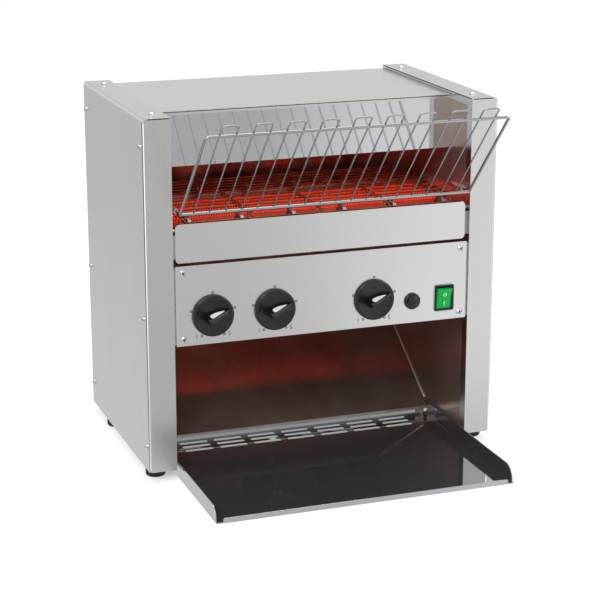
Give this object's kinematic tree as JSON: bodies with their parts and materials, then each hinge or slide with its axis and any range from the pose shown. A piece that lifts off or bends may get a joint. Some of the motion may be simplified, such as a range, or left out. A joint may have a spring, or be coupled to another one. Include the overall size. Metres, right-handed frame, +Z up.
{
  "type": "conveyor toaster",
  "caption": "Free-standing stainless conveyor toaster: forward-leaning wire loading rack, heated belt tunnel, front control panel with rotary knobs, rear drop, return ramp and pull-out tray.",
  "frame": {"origin": "on the worktop under the centre of the object's bounding box, midway between the tray's front lip and the cable gland's rear end", "axes": "+X right as seen from the front, -Y towards the user, +Z up"},
  "size_m": [0.4448, 0.448, 0.446],
  "materials": {
    "satin_steel": "fine satin grain, stainless",
    "mirror_steel": "mirror polished stainless",
    "plain_steel": "mill finish",
    "bright_wire": "bright drawn wire",
    "bright_screws": "bright zinc plated",
    "belt_wire": "heat-tinted stainless wire",
    "shaft_steel": "ground bar",
    "sprocket_steel": "machined, oiled",
    "bronze": "sintered bronze",
    "gearbox_casting": "die cast",
    "motor_can": "zinc plated can",
    "quartz": "clear fused quartz",
    "hot_coil": "resistance wire, glowing",
    "ceramic": "unglazed steatite",
    "mineral_wool": "felted mineral wool",
    "knob_black": "moulded black phenolic, semi-gloss",
    "pointer_white": "white inlay",
    "control_body": "moulded",
    "circuit_board": "lacquered board",
    "holder_black": "moulded black nylon",
    "rocker_green": "translucent lit green",
    "print_ink": "screen print",
    "foot_rubber": "moulded rubber"
  },
  "bodies": {
    "casing": {"side_casing_left": "satin_steel", "side_casing_right": "satin_steel", "top_panel": "satin_steel", "guard_plate": "satin_steel", "control_panel": "satin_steel", "inner_wall_left": "mirror_steel", "inner_wall_right": "mirror_steel", "hood_plate": "mirror_steel", "delivery_ramp": "mirror_steel", "rear_panel": "plain_steel", "base_pan": "plain_steel", "corner_posts": "plain_steel", "top_reflector": "plain_steel", "bottom_reflector": "plain_steel", "rear_guide": "plain_steel", "guard_brackets": "plain_steel", "control_box": "plain_steel", "motor_bracket": "plain_steel", "rack_sockets": "plain_steel", "casing_screws": "bright_screws", "panel_screws": "bright_screws", "conveyor_belt": "belt_wire", "drive_chain": "sprocket_steel", "shaft_bushes": "bronze", "gearbox": "gearbox_casting", "motor": "motor_can", "quartz_tubes": "quartz", "heating_coils": "hot_coil", "ceramic_caps": "ceramic", "insulation_pad": "mineral_wool", "heat_regulators": "control_body", "terminal_block": "control_body", "speed_regulator": "circuit_board", "fuse_holder": "holder_black", "switch_housing": "holder_black", "fan_frame": "holder_black", "cable_gland": "holder_black", "dial_marks": "print_ink", "rubber_feet": "foot_rubber"},
    "bottom_heat_control": {"knob_bottom_heat": "knob_black", "pointer_bottom_heat": "pointer_white", "spindle_bottom_heat": "shaft_steel"},
    "top_heat_control": {"knob_top_heat": "knob_black", "pointer_top_heat": "pointer_white", "spindle_top_heat": "shaft_steel"},
    "speed_control": {"knob_speed": "knob_black", "pointer_speed": "pointer_white", "spindle_speed": "shaft_steel"},
    "rocker": {"switch_rocker": "rocker_green"},
    "fuse_carrier": {"fuse_cap": "holder_black"},
    "tray": {"delivery_tray": "mirror_steel"},
    "rack": {"loading_rack": "bright_wire"},
    "front_axle": {"front_shaft": "shaft_steel", "front_belt_sprockets": "sprocket_steel"},
    "rear_axle": {"rear_shaft": "shaft_steel", "rear_belt_sprockets": "sprocket_steel", "shaft_sprocket": "sprocket_steel"},
    "motor_axle": {"motor_output_shaft": "shaft_steel", "motor_sprocket": "sprocket_steel"},
    "fan_wheel": {"fan_rotor": "holder_black"}
  },
  "joints": [
    {"name": "bottom_heat_turn", "type": "hinge", "parent": "casing", "child": "bottom_heat_control", "pos_m": [-0.1395, -0.075, 0.1985], "axis": [0, 1, 0], "range_deg": [-225, 75]},
    {"name": "top_heat_turn", "type": "hinge", "parent": "casing", "child": "top_heat_control", "pos_m": [-0.063, -0.075, 0.1985], "axis": [0, 1, 0], "range_deg": [-225, 75]},
    {"name": "speed_turn", "type": "hinge", "parent": "casing", "child": "speed_control", "pos_m": [0.063, -0.075, 0.1985], "axis": [0, 1, 0], "range_deg": [-225, 75]},
    {"name": "rocker_tip", "type": "hinge", "parent": "casing", "child": "rocker", "pos_m": [0.155, -0.0714, 0.192], "axis": [1, 0, 0], "range_deg": [-20, 0]},
    {"name": "fuse_cap_turn", "type": "hinge", "parent": "casing", "child": "fuse_carrier", "pos_m": [0.113, -0.075, 0.1915], "axis": [0, 1, 0], "range_deg": [-90, 0]},
    {"name": "tray_slide", "type": "slide", "parent": "casing", "child": "tray", "axis": [0, -1, 0], "range_m": [0, 0.11]},
    {"name": "rack_pull", "type": "slide", "parent": "casing", "child": "rack", "axis": [0, -1, 0], "range_m": [0, 0.026]},
    {"name": "rear_axle_spin", "type": "hinge", "parent": "casing", "child": "rear_axle", "pos_m": [0, 0.134, 0.294], "axis": [1, 0, 0], "continuous": true},
    {"name": "front_axle_spin", "type": "hinge", "parent": "casing", "child": "front_axle", "pos_m": [0, -0.046, 0.294], "axis": [1, 0, 0], "continuous": true},
    {"name": "motor_spin", "type": "hinge", "parent": "casing", "child": "motor_axle", "pos_m": [0.2, -0.01822, 0.23123], "axis": [1, 0, 0], "continuous": true},
    {"name": "fan_spin", "type": "hinge", "parent": "casing", "child": "fan_wheel", "pos_m": [0, 0.1786, 0.057], "axis": [0, 1, 0], "continuous": true}
  ],
  "couplings": [
    {"joint": "front_axle_spin", "follows": "rear_axle_spin", "ratio": 1},
    {"joint": "motor_spin", "follows": "rear_axle_spin", "ratio": 2}
  ]
}
